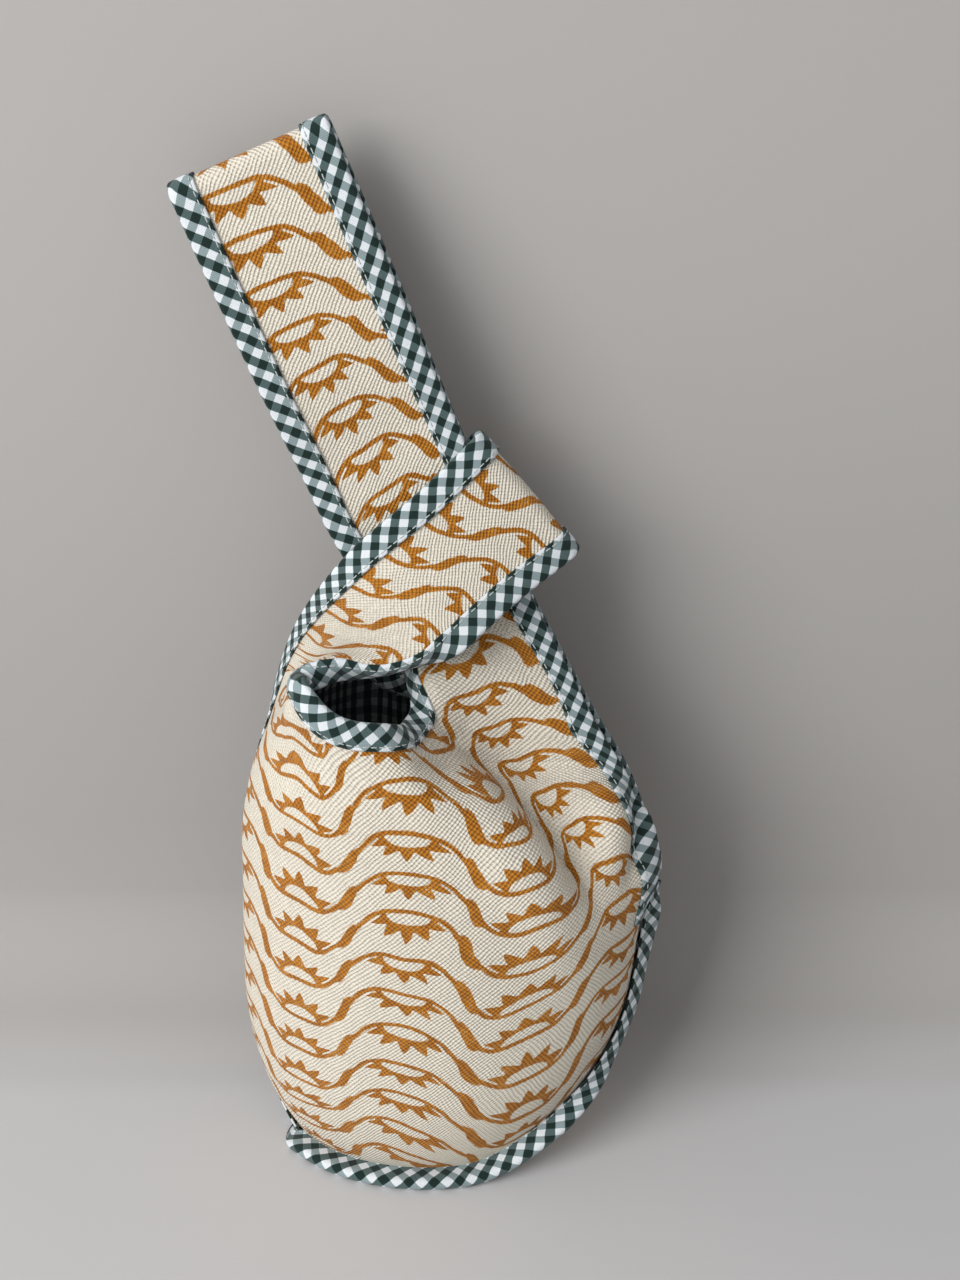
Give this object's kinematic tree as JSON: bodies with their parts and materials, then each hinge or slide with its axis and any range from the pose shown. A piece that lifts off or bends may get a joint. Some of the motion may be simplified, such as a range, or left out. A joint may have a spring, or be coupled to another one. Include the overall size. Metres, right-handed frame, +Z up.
{
  "type": "knot bag",
  "caption": "Small lined cloth bag whose long strap is drawn through its short one to close the mouth and make a wrist handle.",
  "frame": {"origin": "on the surface that the bag stands on, under the middle of its bounding box", "axes": "+Z up; +X to the right of someone who looks at the front; the front, with the open mouth beside the knot, faces -Y"},
  "size_m": [0.1806, 0.117, 0.4069],
  "materials": {
    "printed_canvas": "plain-woven cream cotton canvas with rows of mustard hand-block print",
    "gingham_lining": "fine dark green and white gingham cotton",
    "gingham_binding": "bias binding of dark green and white gingham cotton, edge-stitched"
  },
  "bodies": {
    "bag": {"canvas_front": "printed_canvas", "canvas_back": "printed_canvas", "lining_front": "gingham_lining", "lining_back": "gingham_lining", "binding_neck_front": "gingham_binding", "binding_neck_back": "gingham_binding", "binding_short_front": "gingham_binding", "binding_short_back": "gingham_binding", "binding_long_front": "gingham_binding", "binding_long_back": "gingham_binding", "binding_seam": "gingham_binding"},
    "handle": {"handle_canvas_front": "printed_canvas", "handle_canvas_back": "printed_canvas", "handle_lining_front": "gingham_lining", "handle_lining_back": "gingham_lining", "handle_binding_neck_front": "gingham_binding", "handle_binding_neck_back": "gingham_binding", "handle_binding_outer_front": "gingham_binding", "handle_binding_outer_back": "gingham_binding"}
  },
  "joints": [
    {"name": "handle_tilt", "type": "hinge", "parent": "bag", "child": "handle", "pos_m": [-0.018, 0, 0.2846], "axis": [0.9239, 0, 0.3827], "range_deg": [-80, 80]}
  ]
}
